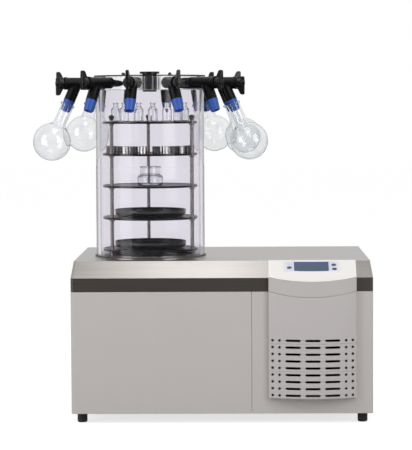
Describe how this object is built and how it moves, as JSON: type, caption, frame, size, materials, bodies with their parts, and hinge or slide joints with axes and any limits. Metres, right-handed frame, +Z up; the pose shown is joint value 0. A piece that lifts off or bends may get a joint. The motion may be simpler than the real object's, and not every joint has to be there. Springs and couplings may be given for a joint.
{
  "type": "freeze dryer",
  "caption": "Bench-top freeze dryer: refrigerated steel cabinet, clear drying drum with a shelf rack, and a manifold lid with flask valves.",
  "frame": {"origin": "bottom centre of the whole object's box, on the bench", "axes": "+X to the right seen from the controls, +Y from the front to the rear, +Z up"},
  "size_m": [0.8846, 0.61, 0.9144],
  "materials": {
    "painted_steel": "fine warm-grey powder coat, satin",
    "dark_band": "dark brushed, satin",
    "brushed_cover": "brushed along the width",
    "fascia_white": "smooth white moulding",
    "moulding_grey": "fine-grained grey moulding",
    "display": "clear window over a two-colour display",
    "button": "satin",
    "pot_steel": "polished stainless",
    "copper": "bright tube",
    "black_rubber": "semi-matt moulded rubber",
    "clear_acrylic": "clear, polished",
    "black_plastic": "smooth black moulding",
    "rack_steel": "turned, satin",
    "shelf_black": "black anodised, satin",
    "glass": "clear blown glass",
    "black_enamel": "black enamel",
    "radiator_metal": "plain mill finish"
  },
  "bodies": {
    "root": {"base_pan": "painted_steel", "cabinet_wrap": "painted_steel", "left_front_panel": "painted_steel", "right_front_panel": "painted_steel", "trim_band": "dark_band", "top_cover": "brushed_cover", "control_fascia": "fascia_white", "fascia_chin": "moulding_grey", "grille_cover": "moulding_grey", "display_window": "display", "condenser_pot": "pot_steel", "condenser_coil": "copper", "base_seal": "black_rubber", "drum": "clear_acrylic", "manifold_lid": "clear_acrylic", "centre_stopper": "black_plastic", "rack_frame": "rack_steel", "shelf_1": "shelf_black", "shelf_2": "shelf_black", "shelf_3": "shelf_black", "shelf_4": "shelf_black", "shelf_5": "shelf_black", "sample_tray_1": "shelf_black", "sample_tray_2": "shelf_black", "valve_body_01": "black_rubber", "flask_1": "glass", "valve_body_02": "black_rubber", "valve_body_03": "black_rubber", "valve_body_04": "black_rubber", "valve_body_05": "black_rubber", "valve_body_06": "black_rubber", "flask_2": "glass", "valve_body_07": "black_rubber", "flask_3": "glass", "valve_body_08": "black_rubber", "flask_4": "glass", "valve_body_09": "black_rubber", "valve_body_10": "black_rubber", "valve_body_11": "black_rubber", "flask_5": "glass", "valve_body_12": "black_rubber", "compressor": "black_enamel", "radiator": "radiator_metal"},
    "valve_lever_01": {"valve_plug_01": "black_plastic"},
    "valve_lever_02": {"valve_plug_02": "black_plastic"},
    "valve_lever_03": {"valve_plug_03": "black_plastic"},
    "valve_lever_04": {"valve_plug_04": "black_plastic"},
    "valve_lever_05": {"valve_plug_05": "black_plastic"},
    "valve_lever_06": {"valve_plug_06": "black_plastic"},
    "valve_lever_07": {"valve_plug_07": "black_plastic"},
    "valve_lever_08": {"valve_plug_08": "black_plastic"},
    "valve_lever_09": {"valve_plug_09": "black_plastic"},
    "valve_lever_10": {"valve_plug_10": "black_plastic"},
    "valve_lever_11": {"valve_plug_11": "black_plastic"},
    "valve_lever_12": {"valve_plug_12": "black_plastic"},
    "button_left": {"button_left": "button"},
    "button_upper_right": {"button_upper_right": "button"},
    "button_lower_right": {"button_lower_right": "button"},
    "mains_switch": {"mains_switch": "black_plastic"},
    "fan": {"fan_rotor": "black_plastic"}
  },
  "joints": [
    {"name": "valve_lever_01_turn", "type": "hinge", "parent": "root", "child": "valve_lever_01", "pos_m": [-0.36289, -0.11605, 0.8824], "axis": [-0.9426, -0.3338, 0], "range_deg": [0, 180]},
    {"name": "valve_lever_02_turn", "type": "hinge", "parent": "root", "child": "valve_lever_02", "pos_m": [-0.29346, -0.21706, 0.8824], "axis": [-0.6494, -0.7604, 0], "range_deg": [0, 180]},
    {"name": "valve_lever_03_turn", "type": "hinge", "parent": "root", "child": "valve_lever_03", "pos_m": [-0.18282, -0.26983, 0.8824], "axis": [-0.1822, -0.9833, 0], "range_deg": [0, 180]},
    {"name": "valve_lever_04_turn", "type": "hinge", "parent": "root", "child": "valve_lever_04", "pos_m": [-0.06062, -0.26022, 0.8824], "axis": [0.3338, -0.9426, 0], "range_deg": [0, 180]},
    {"name": "valve_lever_05_turn", "type": "hinge", "parent": "root", "child": "valve_lever_05", "pos_m": [0.04039, -0.19079, 0.8824], "axis": [0.7604, -0.6494, 0], "range_deg": [0, 180]},
    {"name": "valve_lever_06_turn", "type": "hinge", "parent": "root", "child": "valve_lever_06", "pos_m": [0.09316, -0.08015, 0.8824], "axis": [0.9833, -0.1822, 0], "range_deg": [0, 180]},
    {"name": "valve_lever_07_turn", "type": "hinge", "parent": "root", "child": "valve_lever_07", "pos_m": [0.08355, 0.04205, 0.8824], "axis": [0.9426, 0.3338, 0], "range_deg": [0, 180]},
    {"name": "valve_lever_08_turn", "type": "hinge", "parent": "root", "child": "valve_lever_08", "pos_m": [0.01412, 0.14306, 0.8824], "axis": [0.6494, 0.7604, 0], "range_deg": [0, 180]},
    {"name": "valve_lever_09_turn", "type": "hinge", "parent": "root", "child": "valve_lever_09", "pos_m": [-0.09652, 0.19583, 0.8824], "axis": [0.1822, 0.9833, 0], "range_deg": [0, 180]},
    {"name": "valve_lever_10_turn", "type": "hinge", "parent": "root", "child": "valve_lever_10", "pos_m": [-0.21872, 0.18622, 0.8824], "axis": [-0.3338, 0.9426, 0], "range_deg": [0, 180]},
    {"name": "valve_lever_11_turn", "type": "hinge", "parent": "root", "child": "valve_lever_11", "pos_m": [-0.31973, 0.11679, 0.8824], "axis": [-0.7604, 0.6494, 0], "range_deg": [0, 180]},
    {"name": "valve_lever_12_turn", "type": "hinge", "parent": "root", "child": "valve_lever_12", "pos_m": [-0.37251, 0.00615, 0.8824], "axis": [-0.9833, 0.1822, 0], "range_deg": [0, 180]},
    {"name": "button_left_press", "type": "slide", "parent": "root", "child": "button_left", "axis": [0, 0.577, -0.8168], "range_m": [0, 0.001], "stiffness_N_per_m": 300, "springref_m": -0.0005},
    {"name": "button_upper_right_press", "type": "slide", "parent": "root", "child": "button_upper_right", "axis": [0, 0.5751, -0.8181], "range_m": [0, 0.001], "stiffness_N_per_m": 300, "springref_m": -0.0005},
    {"name": "button_lower_right_press", "type": "slide", "parent": "root", "child": "button_lower_right", "axis": [0, 0.5758, -0.8176], "range_m": [0, 0.001], "stiffness_N_per_m": 300, "springref_m": -0.0005},
    {"name": "mains_switch_rock", "type": "hinge", "parent": "root", "child": "mains_switch", "pos_m": [0.36233, 0.269, 0.14], "axis": [1, 0, 0], "range_deg": [0, 16]},
    {"name": "fan_spin", "type": "hinge", "parent": "root", "child": "fan", "pos_m": [0.28583, -0.157, 0.1703], "axis": [0, 1, 0], "continuous": true}
  ]
}
